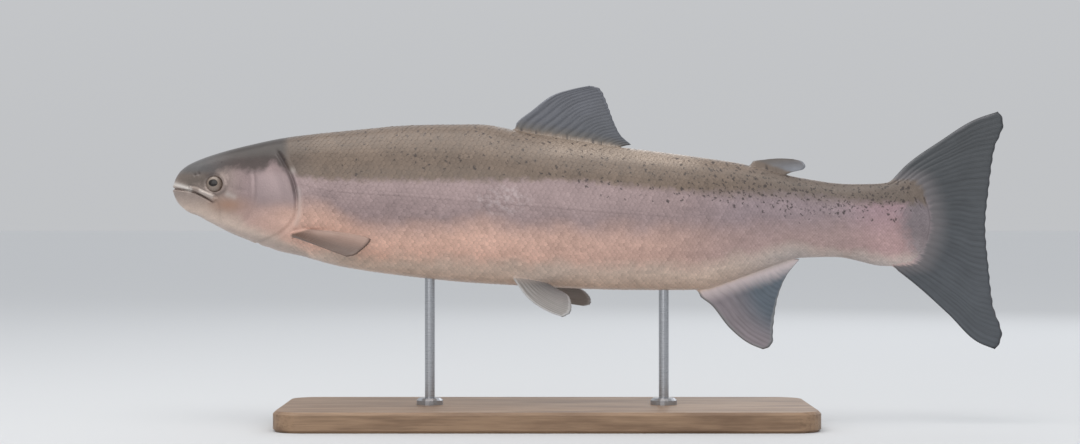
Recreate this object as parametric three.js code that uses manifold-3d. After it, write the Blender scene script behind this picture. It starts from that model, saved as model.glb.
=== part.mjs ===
// A rainbow trout as a life-size still model, held level by two rods over a flat base.
// Millimetres, +Z up, the nose towards -X, the left flank towards -Y and the origin on the floor.
// In what follows s runs back from the tip of the snout and h is the height over the body's own axis.
import * as THREE from "three";
import { LoftGeometry } from "three/addons/geometries/LoftGeometry.js";
import { mergeVertices } from "three/addons/utils/BufferGeometryUtils.js";
import Module from "manifold-3d";

const wasm = await Module();
wasm.setup();

// Driving sizes
const totalLength = 500;
const bodyLength = 455.4; // from the snout to the end of the scaled tail stock
const headLength = 78;
const axisHeight = 122; // of the body's axis over the floor
const gap = 0.3; // between neighbouring solids
const sectionSides = 28; // facets around the body
const wide = 90; // further than any part reaches from the axis
const tailSway = -9; // sideways at the tips of the tail
const headSway = 2.5; // sideways at the snout
const straightAt = 200; // the body bends away in front of this and behind it

// Colours
const backColour = 0x8d8478;
const flankColour = 0xab9a96;
const bellyColour = 0xb9aa96;
const finColour = 0x6f7480;
const eyeColour = 0x9a927c;
const woodColour = 0x4a3426;
const steelColour = 0xb4b6b8;

// A curve through [x, y] knots that never overshoots them.
function smoothThrough(knots) {
  const last = knots.length - 1;
  const rises = knots.slice(1).map(([x, y], i) => (y - knots[i][1]) / (x - knots[i][0]));
  const slopes = knots.map((_, i) => {
    const before = rises[Math.max(i - 1, 0)];
    const after = rises[Math.min(i, last - 1)];
    return before * after <= 0 ? 0 : (2 * before * after) / (before + after);
  });
  return (x) => {
    if (x <= knots[0][0]) return knots[0][1];
    if (x >= knots[last][0]) return knots[last][1];
    const i = knots.findIndex(([at]) => at > x) - 1;
    const [x0, y0] = knots[i];
    const [x1, y1] = knots[i + 1];
    const t = (x - x0) / (x1 - x0);
    const bulge = slopes[i] * t * (1 - t) ** 2 - slopes[i + 1] * t * t * (1 - t);
    return y0 + (y1 - y0) * t * t * (3 - 2 * t) + bulge * (x1 - x0);
  };
}

// Outlines of the body
const backLine = smoothThrough([
  [0, 20.6], [0.6, 23.6], [1.8, 26.9], [5, 31.4], [11, 35.5], [26, 41.2], [47, 46.7], [71, 51.5],
  [107, 55.4], [150, 58.8], [185, 59.1], [210, 54.8], [258, 47], [306, 40.8], [342, 35.6], [378, 27],
  [408, 23.1], [424, 23.2], [441, 26.8],
]);
const bellyLine = smoothThrough([
  [0, 19.6], [0.6, 15.8], [4, 10], [10, 5.4], [15, 3.6], [20, 0.8], [25, -1.8], [30, -4.4], [35, -7],
  [41, -9.4], [47, -11.7], [57, -15.2], [66, -18.4], [77, -20.5], [89, -24], [101, -27], [137, -32.4],
  [186, -37.2], [282, -41.2], [315, -41.2], [342, -33.6], [366, -25], [378, -21.8], [400, -21.3],
  [414, -24], [426, -26.7], [441, -26.9],
]);
const halfWidth = smoothThrough([
  [0, 1], [0.6, 3.6], [1.8, 5.4], [4, 7], [11, 9.4], [26, 13], [47, 17.8], [62, 20.2], [73, 21],
  [84, 20.8], [105, 23], [150, 25.6], [200, 25.6], [258, 23.6], [306, 20], [342, 15.4], [378, 11.2],
  [408, 8.3], [432, 6], [447, 4.2], [455, 2.6],
]);
const backFullness = smoothThrough([[0, 2.2], [30, 2.5], [60, 2.35], [110, 2.1], [455, 2]]);
const bellyFullness = smoothThrough([[0, 2], [30, 1.85], [60, 1.9], [110, 2.1], [300, 2.15], [455, 2]]);
const roundedFrom = 441; // behind this the tail stock closes to a rounded edge

// How far the body's middle lies to one side.
function sway(s) {
  const ahead = Math.max(0, 1 - s / straightAt);
  const behind = Math.max(0, (s - straightAt) / (totalLength - straightAt));
  return headSway * ahead ** 2 + tailSway * behind ** 2;
}

function place(s, h, y = 0) {
  return new THREE.Vector3(s - totalLength / 2, y + sway(s), axisHeight + h);
}

// A point of the body's surface: turn 0 is the back, a quarter the left flank, a half the belly.
function bodyPoint(s, turn, grow) {
  const top = backLine(Math.min(s, roundedFrom));
  const bottom = bellyLine(Math.min(s, roundedFrom));
  const into = Math.max(0, (s - roundedFrom) / (bodyLength - roundedFrom));
  const half = ((top - bottom) / 2) * Math.sqrt(1 - into ** 2) + grow;
  const up = Math.cos(turn);
  const across = Math.sin(turn);
  const power = 2 / (up > 0 ? backFullness(s) : bellyFullness(s));
  const h = (top + bottom) / 2 + Math.sign(up) * half * Math.abs(up) ** power;
  return place(s, h, -Math.sign(across) * (halfWidth(s) + grow) * Math.abs(across) ** power);
}

// Stations along the body, close together where it closes up at either end.
function bodyStations() {
  const head = { count: 14, to: headLength };
  const trunk = { count: 18, to: roundedFrom };
  const end = { count: 5, turn: 1.47 };
  const stations = [];
  for (let i = 0; i < head.count; i++) {
    stations.push(head.to * (1 - Math.cos((i / head.count) * (Math.PI / 2))));
  }
  for (let i = 0; i < trunk.count; i++) {
    stations.push(THREE.MathUtils.lerp(head.to, trunk.to, i / trunk.count));
  }
  for (let i = 0; i <= end.count; i++) {
    stations.push(roundedFrom + (bodyLength - roundedFrom) * Math.sin((i / end.count) * end.turn));
  }
  return stations;
}

// The whole body without its fins, as one closed loft.
function bodySolid(grow = 0) {
  const sections = bodyStations().map((s) => {
    const turns = Array.from({ length: sectionSides }, (_, i) => (i / sectionSides) * 2 * Math.PI);
    return turns.map((turn) => bodyPoint(s, turn, grow));
  });
  return solidOf(new LoftGeometry(sections, { capStart: true, capEnd: true }));
}

// A closed geometry as a solid for cutting and joining, turned to face outwards.
function solidOf(geometry) {
  const bare = new THREE.BufferGeometry().setAttribute("position", geometry.getAttribute("position"));
  bare.setIndex(geometry.index);
  const merged = mergeVertices(bare, 1e-4);
  const corners = Array.from(merged.index.array);
  const faces = [];
  for (let i = 0; i < corners.length; i += 3) {
    const [a, b, c] = corners.slice(i, i + 3);
    if (a !== b && b !== c && c !== a) faces.push([a, b, c]);
  }
  const vertProperties = merged.getAttribute("position").array;
  const make = (list) =>
    new wasm.Manifold(new wasm.Mesh({ numProp: 3, vertProperties, triVerts: new Uint32Array(list.flat()) }));
  const solid = make(faces);
  return solid.volume() > 0 ? solid : make(faces.map(([a, b, c]) => [a, c, b]));
}

function largest(solid) {
  return solid.decompose().sort((one, other) => other.volume() - one.volume())[0];
}

// An outline in (s, h) carried straight across the body from one y to another.
function prism(outline, fromY = -wide, toY = wide) {
  const corners = outline.map(([s, h]) => new THREE.Vector2(s - totalLength / 2, axisHeight + h));
  const options = { depth: toY - fromY, bevelEnabled: false };
  const geometry = new THREE.ExtrudeGeometry(new THREE.Shape(corners), options);
  return solidOf(geometry.rotateX(Math.PI / 2).translate(0, toY, 0));
}

// The same, from a depth inside one side of the head outwards. A side is -1 for left and 1 for right.
function sidePrism(outline, side, depth) {
  const inner = sway(outline[0][0]) + side * depth;
  return side < 0 ? prism(outline, -wide, inner) : prism(outline, inner, wide);
}

// Points along a smooth line through a few marks, moved by (ds, dh).
function along(marks, count, ds = 0, dh = 0) {
  const curve = new THREE.SplineCurve(marks.map(([s, h]) => new THREE.Vector2(s, h)));
  return curve.getPoints(count).map((p) => [p.x + ds, p.y + dh]);
}

// An outline moved outwards by a set distance, with mitred corners.
function grown(outline, by) {
  const corner = (i) => new THREE.Vector2(...outline[(i + outline.length) % outline.length]);
  const turning = Math.sign(THREE.ShapeUtils.area(outline.map((_, i) => corner(i))));
  return outline.map(([s, h], i) => {
    const before = corner(i).sub(corner(i - 1)).normalize();
    const after = corner(i + 1).sub(corner(i)).normalize();
    const both = before.add(after);
    const reach = (turning * by * 2) / both.lengthSq();
    return [s + both.y * reach, h - both.x * reach];
  });
}

// A fin is lofted from ray to ray. Each section is a loop up one face of the blade and down the other. Every
// second one lies on a ray, thicker than the membrane beside it, and the first and last close to a line.
function finSolid({ root, edge, rays, rows = 4, thickness, across = acrossBody, bow = noBow }) {
  const membraneShare = 0.62;
  const thinnest = 0.5;
  const rim = 0.25; // the closing lines lie this far outside the first and last sections
  const step = 0.02;
  const middleAt = (u, v) => root(u).lerp(edge(u), v).add(bow(u, v));
  const section = (u, thickShare, shift = 0) => {
    const inwards = u < 0.5 ? u + step : u - step;
    const near = [];
    const far = [];
    for (let j = 0; j <= rows; j++) {
      const v = j / rows;
      const full = THREE.MathUtils.lerp(thickness[0], thickness[1], v ** 0.7);
      const half = thickShare && Math.max(thinnest, full * thickShare) / 2;
      const middle = middleAt(u, v);
      middle.add(middle.clone().sub(middleAt(inwards, v)).setLength(shift));
      const normal = across(middleAt, u, v);
      near.push(middle.clone().addScaledVector(normal, -half));
      far.unshift(middle.clone().addScaledVector(normal, half));
    }
    return [...near, ...far];
  };
  const sections = [section(0, 0, rim)];
  for (let i = 0; i <= 2 * rays; i++) sections.push(section(i / (2 * rays), i % 2 ? 1 : membraneShare));
  sections.push(section(1, 0, rim));
  return solidOf(new LoftGeometry(sections));
}

function noBow() {
  return new THREE.Vector3();
}

// Straight across the body, for fins on its middle line
function acrossBody() {
  return new THREE.Vector3(0, 1, 0);
}

// Square to the blade itself, for fins that stand out from the flanks
function acrossBlade(middleAt, u, v) {
  const small = 0.01;
  const fromU = Math.min(Math.max(u, small), 1 - small);
  const fromV = Math.min(Math.max(v, small), 1 - small);
  const alongEdge = middleAt(fromU + small, fromV).sub(middleAt(fromU - small, fromV));
  const alongRay = middleAt(fromU, fromV + small).sub(middleAt(fromU, fromV - small));
  return alongRay.cross(alongEdge).normalize();
}

// A fin's free edge, through marks of [s, h, y].
function edgeThrough(marks) {
  const points = marks.map(([s, h, y]) => place(s, h, y));
  const curve = new THREE.CatmullRomCurve3(points, false, "centripetal");
  return (u) => curve.getPoint(u);
}

// Body and clearance, which is what the fins are cut back to
const body = bodySolid();
const clearance = bodySolid(gap);

function cutToBody(fin) {
  return largest(fin.subtract(clearance));
}

// Lines that part the head
const gillEdge = [
  [65, 60], [66, 46], [69, 33.7], [73.7, 24.1], [75.8, 13.2], [74.9, 3.6], [67, -5.5], [54, -11], [46, -16],
];
const mouthLine = [[-4, 22], [7, 19.3], [14.2, 17.8], [19.6, 15.4], [24, 12.9]];
const jawRear = { s: 28.8, h: 7.2 };
const cheekLine = [[jawRear.s, jawRear.h], [40, -0.8], [54, -4.2], [70, -6.5], [76, -7]];
const gillCoverFront = [[49, 34], [50, 22], [49.4, 10], [45, -2.2]];
const gillCoverCorners = [[56, -7], [90, -12], [90, 30], [71.2, 31.5], [64, 36.5], [56, 37]];
const gillCoverDepth = 12.4; // from the head's middle to the inside of the cover

const half = gap * 0.7; // a slanting cut moved this far each way leaves the gap
const headSide = prism([...along(gillEdge, 20, -half, half), [-20, -40], [-20, 80]]);
const trunkSide = prism([...along(gillEdge, 20, half, -half), [46, -60], [480, -60], [480, 80]]);
const jawSide = prism(jawOutline(-half));
const overJaw = prism(jawOutline(half));

// Everything below the mouth line and in front of the end of the jaw.
function jawOutline(move) {
  const rear = jawRear.s + move;
  return [...along(mouthLine, 10, 0, move), [rear, jawRear.h], [rear, -30], [-20, -30]];
}

function underCheek(move) {
  return prism([...along(cheekLine, 10, 0, move), [76, -50], [jawRear.s - 1, -50]]);
}

const wholeHead = body.intersect(headSide);
const headOverJaw = wholeHead.subtract(overJaw);
const skull = headOverJaw.subtract(underCheek(half));
const throat = headOverJaw.intersect(underCheek(-half));
const gillCoverOutline = [...along(gillCoverFront, 8), ...gillCoverCorners];

// Upper jaw bones, let into the cheeks and a little proud of them
const maxilla = {
  depth: 7.6,
  proud: 0.6,
  outline: [
    [11.2, 21.4], [15.5, 20.5], [19.4, 18.6], [23, 16.9], [26.4, 15.9], [27.8, 13.9], [26.6, 12.4],
    [24, 12.8], [20.5, 15.2], [16, 17.9], [11.2, 19.6],
  ],
};

// Eyes: flattened balls in round sockets
const eye = { s: 26.6, h: 22.8, y: 9.6, radius: 5.3, depth: 4.3, facets: 12, socketReach: 20 };

function eyeball(side, grow = 0) {
  const geometry = new THREE.SphereGeometry(1, eye.facets, eye.facets - 4).rotateX(Math.PI / 2);
  geometry.scale(eye.radius + grow, eye.depth + grow, eye.radius + grow);
  return solidOf(geometry.translate(...place(eye.s, eye.h, side * eye.y)));
}

function eyeSocket(side) {
  const radius = eye.radius + gap;
  const geometry = new THREE.CylinderGeometry(radius, radius, eye.socketReach, eye.facets);
  const middle = place(eye.s, eye.h, side * (eye.y + eye.socketReach / 2));
  return solidOf(geometry.translate(...middle)).add(eyeball(side, gap));
}

// Fins on the middle line: each runs from a root just inside the body out to its own edge
const rootDepth = 4;

function medianFin({ from, to, line, marks, rays, thickness }) {
  const inwards = line === backLine ? -rootDepth : rootDepth;
  const root = (u) => {
    const s = THREE.MathUtils.lerp(from, to, u);
    return place(s, line(s) + inwards);
  };
  return finSolid({ root, edge: edgeThrough(marks), rays, thickness });
}

const dorsalFin = medianFin({
  from: 205, to: 268, line: backLine, rays: 8, thickness: [3, 0.8],
  marks: [
    [205.6, 56.6], [217.6, 68], [229, 76.4], [241, 80.2], [255.4, 82.6], [261.4, 74], [266, 61], [270, 52.5],
    [276.4, 46.6],
  ],
});
const adiposeFin = medianFin({
  from: 347, to: 368, line: backLine, rays: 4, thickness: [3.4, 1.6],
  marks: [[347.4, 35.6], [357, 37.8], [369, 38.2], [376.6, 37.4], [381.4, 33], [379, 31.2], [375, 29.8]],
});
const analFin = medianFin({
  from: 315, to: 374, line: bellyLine, rays: 8, thickness: [3.2, 0.8],
  marks: [
    [315.6, -42], [325, -50.4], [335.6, -63.8], [347, -73], [360.4, -77.6], [362.2, -64], [364.6, -46.6],
    [370, -32], [377.4, -22.6],
  ],
});

// The tail fin fans out around the rounded end of the tail stock to two lobes
const tail = {
  centre: 428, reach: 18, halfSpan: 23, rays: 12, thickness: [3.4, 0.8],
  upper: [[430, 24], [441, 34], [462, 49], [482, 61.4], [500, 66.4], [494.6, 44], [491, 20], [489.6, -3.4]],
  lower: [
    [489.6, -3.4], [490.4, -25], [493, -50], [498.4, -76.4], [484, -72.2], [466, -55], [448, -38.6],
    [432, -26],
  ],
};

function tailFinSolid() {
  const upper = edgeThrough(tail.upper);
  const lower = edgeThrough(tail.lower);
  const root = (u) => {
    const turn = Math.PI * (0.5 - u);
    return place(tail.centre + tail.reach * Math.cos(turn), tail.halfSpan * Math.sin(turn));
  };
  const edge = (u) => (u < 0.5 ? upper(2 * u) : lower(2 * u - 1));
  return finSolid({ root, edge, rays: tail.rays, thickness: tail.thickness });
}

// Paired fins, given for one side and mirrored for the other. The first ray is the leading edge and the last is
// the trailing edge, the marks run between their tips, and the bows curve those two rays.
const pectoral = {
  root: [[70, -8, 8], [78, -4.6, 13]], rays: 8, thickness: [3, 0.7],
  leadBow: [-3, 1.7, 4.6], trailBow: [0, 1, 2],
  marks: [[110.6, -20.8, 50.5], [117, -18.4, 49], [121, -13.4, 41], [122.6, -9.6, 33], [118.5, -7.6, 29.5]],
};
const pelvic = {
  root: [[204, -30.5, 9], [217, -32, 5]], rays: 6, thickness: [2.8, 0.7],
  leadBow: [-3.5, -3.5, 3.5], trailBow: [0, 0, 0],
  marks: [[236, -56.6, 31], [239.6, -53, 27.6], [240, -48, 23], [238, -43, 17.6], [234, -40, 13.8]],
};
const pelvicSweptBack = {
  ...pelvic,
  leadBow: [-3, -4.6, 4.3],
  marks: [[250, -52, 27], [253, -49, 24.6], [252.4, -45.6, 21], [248, -42.6, 17], [242, -40.6, 14]],
};

function pairedFin({ root, marks, rays, thickness, leadBow, trailBow }, side) {
  const [from, to] = root.map(([s, h, y]) => place(s, h, side * y));
  const edge = edgeThrough(marks.map(([s, h, y]) => [s, h, side * y]));
  const rootLine = (u) => from.clone().lerp(to, u);
  const [leadCurve, trailCurve] = [leadBow, trailBow].map(([s, h, y]) => new THREE.Vector3(s, side * y, h));
  const bow = (u, v) => leadCurve.clone().lerp(trailCurve, u).multiplyScalar(4 * v * (1 - v));
  return finSolid({ root: rootLine, edge, rays, thickness, across: acrossBlade, bow });
}

// Stand: a bevelled board, two rods that end inside the belly, and a collar at the foot of each
const board = { length: 320, width: 124, thickness: 12, corner: 16, bevel: 1.6, middle: -24.5 };
const rod = { radius: 3, sunk: 7, sides: 20 };
const rods = { front: 155, rear: 296 };
const collar = { radius: 8, height: 4, chamfer: 1.4, fit: 0.15 };

function boardSolid() {
  const x = board.length / 2 - board.bevel;
  const y = board.width / 2 - board.bevel;
  const quarter = Math.PI / 2;
  const shape = new THREE.Shape();
  shape.absarc(x - board.corner, -y + board.corner, board.corner, -quarter, 0);
  shape.absarc(x - board.corner, y - board.corner, board.corner, 0, quarter);
  shape.absarc(-x + board.corner, y - board.corner, board.corner, quarter, 2 * quarter);
  shape.absarc(-x + board.corner, -y + board.corner, board.corner, 2 * quarter, 3 * quarter);
  const geometry = new THREE.ExtrudeGeometry(shape, {
    depth: board.thickness - 2 * board.bevel,
    bevelSize: board.bevel,
    bevelThickness: board.bevel,
    bevelSegments: 1,
    curveSegments: 4,
  });
  return solidOf(geometry.translate(board.middle, 0, board.bevel));
}

function rodSolid(s, grow = 0) {
  const top = axisHeight + bellyLine(s) + rod.sunk + grow;
  const length = top - board.thickness;
  const geometry = new THREE.CylinderGeometry(rod.radius + grow, rod.radius + grow, length, rod.sides);
  geometry.rotateX(Math.PI / 2).translate(s - totalLength / 2, 0, top - length / 2);
  return solidOf(geometry);
}

function collarSolid(s) {
  const inner = rod.radius + collar.fit;
  const profile = [
    [inner, 0],
    [collar.radius, 0],
    [collar.radius, collar.height - collar.chamfer],
    [collar.radius - collar.chamfer, collar.height],
    [inner, collar.height],
    [inner, 0],
  ];
  const geometry = new THREE.LatheGeometry(profile.map(([r, z]) => new THREE.Vector2(r, z)), rod.sides);
  return solidOf(geometry.rotateX(Math.PI / 2).translate(s - totalLength / 2, 0, board.thickness));
}

// The model
const trout = new THREE.Group();

function addNode(name, solid, look) {
  const mesh = solid.getMesh();
  const geometry = new THREE.BufferGeometry();
  geometry.setAttribute("position", new THREE.BufferAttribute(mesh.vertProperties, mesh.numProp));
  geometry.setIndex(new THREE.BufferAttribute(mesh.triVerts, 1));
  geometry.computeVertexNormals();
  const node = new THREE.Mesh(geometry, new THREE.MeshStandardMaterial(look));
  node.name = name;
  trout.add(node);
}

const skinLook = { color: backColour, roughness: 0.4, metalness: 0 };
const flankLook = { color: flankColour, roughness: 0.3, metalness: 0.2 };
const bellyLook = { color: bellyColour, roughness: 0.4, metalness: 0 };
const finLook = { color: finColour, roughness: 0.45, metalness: 0 };
const eyeLook = { color: eyeColour, roughness: 0.1, metalness: 0 };
const woodLook = { color: woodColour, roughness: 0.5, metalness: 0 };
const steelLook = { color: steelColour, roughness: 0.3, metalness: 1 };

let head = skull;
let lowerJaw = wholeHead.intersect(jawSide);
const maxillaPocket = grown(maxilla.outline, gap);
const coverPocket = grown(gillCoverOutline, gap);
for (const [word, side] of Object.entries({ left: -1, right: 1 })) {
  const pocket = sidePrism(maxillaPocket, side, maxilla.depth - gap);
  head = head.subtract(eyeSocket(side));
  head = head.subtract(sidePrism(coverPocket, side, gillCoverDepth - gap));
  head = head.subtract(pocket);
  lowerJaw = lowerJaw.subtract(pocket);
  const plate = bodySolid(maxilla.proud).intersect(sidePrism(maxilla.outline, side, maxilla.depth));
  const cover = skull.intersect(sidePrism(gillCoverOutline, side, gillCoverDepth));
  addNode(`eye_${word}`, eyeball(side), eyeLook);
  addNode(`maxilla_${word}`, largest(plate), flankLook);
  addNode(`gill_cover_${word}`, largest(cover), flankLook);
  addNode(`pectoral_fin_${word}`, cutToBody(pairedFin(pectoral, side)), finLook);
}
addNode("head", largest(head), skinLook);
addNode("lower_jaw", largest(lowerJaw), bellyLook);
addNode("throat", throat, bellyLook);

// The trunk, parted into lengths at the fins' roots
const trunkLengths = {
  trunk_front: [40, 204],
  trunk_middle: [204, 314],
  trunk_rear: [314, 396],
  tail_stock: [396, 470],
};
const rodHoles = Object.values(rods).map((s) => rodSolid(s, gap));
const trunk = rodHoles.reduce((whole, hole) => whole.subtract(hole), body.intersect(trunkSide));
for (const [name, [from, to]] of Object.entries(trunkLengths)) {
  const [start, end] = [from + gap / 2, to - gap / 2];
  const slice = prism([[start, -wide], [end, -wide], [end, wide], [start, wide]]);
  addNode(name, trunk.intersect(slice), skinLook);
}

addNode("dorsal_fin", cutToBody(dorsalFin), finLook);
addNode("adipose_fin", cutToBody(adiposeFin), finLook);
addNode("anal_fin", cutToBody(analFin), finLook);
addNode("tail_fin", cutToBody(tailFinSolid()), finLook);
addNode("pelvic_fin_left", cutToBody(pairedFin(pelvic, -1)), finLook);
addNode("pelvic_fin_right", cutToBody(pairedFin(pelvicSweptBack, 1)), finLook);

addNode("stand_base", boardSolid(), woodLook);
for (const [word, s] of Object.entries(rods)) {
  addNode(`stand_rod_${word}`, rodSolid(s), steelLook);
  addNode(`stand_collar_${word}`, collarSolid(s), steelLook);
}

export default trout;
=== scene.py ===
import math

import bmesh
import bpy
import numpy as np
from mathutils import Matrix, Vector


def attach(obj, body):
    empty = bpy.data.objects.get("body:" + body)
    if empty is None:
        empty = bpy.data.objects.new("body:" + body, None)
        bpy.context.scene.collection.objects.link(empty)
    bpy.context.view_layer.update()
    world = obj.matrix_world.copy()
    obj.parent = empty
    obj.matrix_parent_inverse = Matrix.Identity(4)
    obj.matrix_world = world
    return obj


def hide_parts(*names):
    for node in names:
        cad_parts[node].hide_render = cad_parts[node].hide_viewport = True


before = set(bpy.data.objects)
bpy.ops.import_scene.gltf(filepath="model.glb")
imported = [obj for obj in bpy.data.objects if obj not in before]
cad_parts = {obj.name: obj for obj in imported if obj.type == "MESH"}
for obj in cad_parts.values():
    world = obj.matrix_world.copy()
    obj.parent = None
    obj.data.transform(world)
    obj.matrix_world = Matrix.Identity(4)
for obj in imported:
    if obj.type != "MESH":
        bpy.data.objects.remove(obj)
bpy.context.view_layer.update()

scene = bpy.context.scene
mm = 0.001
print("frame loaded")

# camera and light
studio = {
    "cameraX": -28.6, "cameraAway": 1400, "cameraHeight": 122, "widthSeen": 651.2, "sensor": 36,
    "floorSize": 60, "floorColour": (0.60, 0.61, 0.62, 1), "worldColour": (0.95, 0.97, 1.0, 1),
    "horizonStrength": 0.56, "zenithStrength": 0.9, "lampAim": (0, 0, 0.12),
    "softboxes": {  # place, size, power and colour
        "keySoftbox": ((-0.25, -0.35, 1.25), (1.5, 0.8), 8, (1.0, 0.97, 0.93)),
        "frontSoftbox": ((-0.4, -1.7, 0.6), (1.2, 0.9), 5.5, (1.0, 0.98, 0.97)),
        "backSoftbox": ((0.6, 1.3, 0.9), (1.2, 0.9), 4, (0.95, 0.97, 1.0)),
    },
}

cameraData = bpy.data.cameras.new("camera")
cameraData.sensor_width = studio["sensor"]
cameraData.lens = studio["sensor"] * studio["cameraAway"] / studio["widthSeen"]
cameraData.clip_start, cameraData.clip_end = 0.05, 100
camera = bpy.data.objects.new("camera", cameraData)
camera.location = (studio["cameraX"] * mm, -studio["cameraAway"] * mm, studio["cameraHeight"] * mm)
camera.rotation_euler = (math.radians(90), 0, 0)
scene.collection.objects.link(camera)
scene.camera = camera

for name, (place, size, power, lampColour) in studio["softboxes"].items():
    data = bpy.data.lights.new(name, "AREA")
    data.shape, data.size, data.size_y = "RECTANGLE", *size
    data.energy, data.color = power, lampColour
    lamp = bpy.data.objects.new(name, data)
    lamp.location = place
    lamp.rotation_euler = (Vector(studio["lampAim"]) - Vector(place)).to_track_quat("-Z", "Y").to_euler()
    scene.collection.objects.link(lamp)


# shader helpers
def addNode(tree, kind, settings=None, **inputs):  # an input goes by its name, or its number as i0, i1, i2
    made = tree.nodes.new("ShaderNode" + kind)
    for key, value in (settings or {}).items():
        setattr(made, key, value)
    for key, value in inputs.items():
        socket = made.inputs[int(key[1:]) if key[1:].isdigit() else key]
        if isinstance(value, bpy.types.NodeSocket):
            tree.links.new(value, socket)
        else:
            socket.default_value = value
    return made


def calc(tree, operation, a, b=0.0, c=0.0, clamp=False):
    return addNode(tree, "Math", {"operation": operation, "use_clamp": clamp}, i0=a, i1=b, i2=c).outputs[0]


def times(tree, a, b):
    return calc(tree, "MULTIPLY", a, b)


def minus(tree, a, b):
    return calc(tree, "SUBTRACT", a, b)


def varied(tree, pattern, amount, middle=1.0):  # a pattern of 0 to 1, spread by an amount about a middle
    return calc(tree, "MULTIPLY_ADD", minus(tree, pattern, 0.5), amount, middle)


def sineOf(tree, value):
    return calc(tree, "ABSOLUTE", calc(tree, "SINE", value))


def lengthOf(tree, vector):
    return addNode(tree, "VectorMath", {"operation": "LENGTH"}, i0=vector).outputs["Value"]


def attribute(tree, name, output="Fac"):
    return addNode(tree, "Attribute", {"attribute_name": name}).outputs[output]


def objectPlace(tree, stretch=None):
    place = addNode(tree, "TexCoord").outputs["Object"]
    return addNode(tree, "Mapping", Vector=place, Scale=stretch).outputs[0] if stretch else place


def ramp(tree, value, low, high, start=0.0, end=1.0):
    return addNode(tree, "MapRange", {"interpolation_type": "SMOOTHSTEP"},
                   i0=value, i1=low, i2=high, i3=start, i4=end).outputs[0]


def mixColour(tree, share, a, b, blend="MIX"):
    return addNode(tree, "Mix", {"data_type": "RGBA", "blend_type": blend}, i0=share, i6=a, i7=b).outputs[2]


def shaded(tree, colour, light):
    grey = addNode(tree, "CombineColor", Red=light, Green=light, Blue=light).outputs[0]
    return mixColour(tree, 1.0, colour, grey, "MULTIPLY")


def noise(tree, vector, scale, detail=2.0, roughness=0.5):
    made = addNode(tree, "TexNoise", Vector=vector, Scale=scale, Detail=detail, Roughness=roughness)
    return made.outputs[0]


def curveOf(tree, value, knots, low, high, span=500):
    made = addNode(tree, "FloatCurve", Value=calc(tree, "DIVIDE", value, span))
    curve = made.mapping.curves[0]
    while len(curve.points) < len(knots):
        curve.points.new(0.5, 0.5)
    for point, (x, y) in zip(curve.points, knots):
        point.location = (x / span, (y - low) / (high - low))
        point.handle_type = "AUTO_CLAMPED"
    made.mapping.update()
    return calc(tree, "MULTIPLY_ADD", made.outputs[0], high - low, low)


def tone(*rgb):
    return (*(((v / 255 + 0.055) / 1.055) ** 2.4 if v > 10.3 else v / 255 / 12.92 for v in rgb), 1.0)


def newGroup(name, inputs, outputs):
    group = bpy.data.node_groups.new(name, "ShaderNodeTree")
    for label, kind, value in inputs:
        socket = group.interface.new_socket(label, in_out="INPUT", socket_type="NodeSocket" + kind)
        socket.default_value = value
    for label, kind in outputs:
        group.interface.new_socket(label, in_out="OUTPUT", socket_type="NodeSocket" + kind)
    return group, group.nodes.new("NodeGroupInput").outputs, group.nodes.new("NodeGroupOutput").inputs


def newMaterial(name):
    material = bpy.data.materials.new(name)
    material.use_nodes = True
    tree = material.node_tree
    return material, tree, tree.nodes["Principled BSDF"]


def useGroup(tree, group, **inputs):
    return addNode(tree, "Group", {"node_tree": group}, **inputs).outputs


def connect(tree, node, **sockets):  # a socket's spaces are written as underscores
    for key, value in sockets.items():
        tree.links.new(value, node.inputs[key.replace("_", " ")])


# mesh helpers
def coordsOf(mesh, what="co"):
    flat = np.empty(len(mesh.vertices) * 3, np.float32)
    mesh.vertices.foreach_get(what, flat)
    return flat.reshape(-1, 3).astype(float)


def packed(values, kind=np.float32):
    return np.ascontiguousarray(values, kind).ravel()


def setCoords(mesh, co):
    mesh.vertices.foreach_set("co", packed(co))
    mesh.update()


def cornersOf(mesh):
    index = np.empty(len(mesh.loops), np.int32)
    mesh.loops.foreach_get("vertex_index", index)
    return index


def setAttribute(mesh, name, values, kind="FLOAT", domain="POINT"):
    made = mesh.attributes.new(name, kind, domain)
    values = values[cornersOf(mesh)] if domain == "CORNER" else values
    made.data.foreach_set("value" if kind == "FLOAT" else "vector", packed(values))


def meshFrom(bm, name):
    mesh = bpy.data.meshes.new(name)
    bm.to_mesh(mesh)
    bm.free()
    return mesh


def gridMesh(name, columns, rows, size=0.5):
    bm = bmesh.new()
    bmesh.ops.create_grid(bm, x_segments=columns, y_segments=rows, size=size)
    return meshFrom(bm, name)


def closeUp(mesh, touching=2e-6):  # edges that meet are joined, and the faces turned outwards
    bm = bmesh.new()
    bm.from_mesh(mesh)
    bmesh.ops.remove_doubles(bm, verts=bm.verts, dist=touching)
    bmesh.ops.recalc_face_normals(bm, faces=bm.faces)
    bm.to_mesh(mesh)
    bm.free()


def linked(name, mesh):
    made = bpy.data.objects.new(name, mesh)
    scene.collection.objects.link(made)
    return made


def evaluated(piece):
    mesh = bpy.data.meshes.new_from_object(piece.evaluated_get(bpy.context.evaluated_depsgraph_get()))
    piece.modifiers.clear()
    return mesh


def showPiece(mesh, name, slotName, *nodes):
    mesh.shade_smooth()
    piece = linked(name, mesh)
    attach(piece, "root")
    if nodes:
        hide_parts(*nodes)


# world and floor
world = bpy.data.worlds.new("paleRoom")
scene.world = world
world.use_nodes = True
sky = world.node_tree
skyWay = addNode(sky, "SeparateXYZ", Vector=addNode(sky, "TexCoord").outputs["Generated"]).outputs["Z"]
sky.nodes["Background"].inputs["Color"].default_value = studio["worldColour"]
connect(sky, sky.nodes["Background"],
        Strength=ramp(sky, skyWay, 0.0, 0.7, studio["horizonStrength"], studio["zenithStrength"]))

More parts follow.
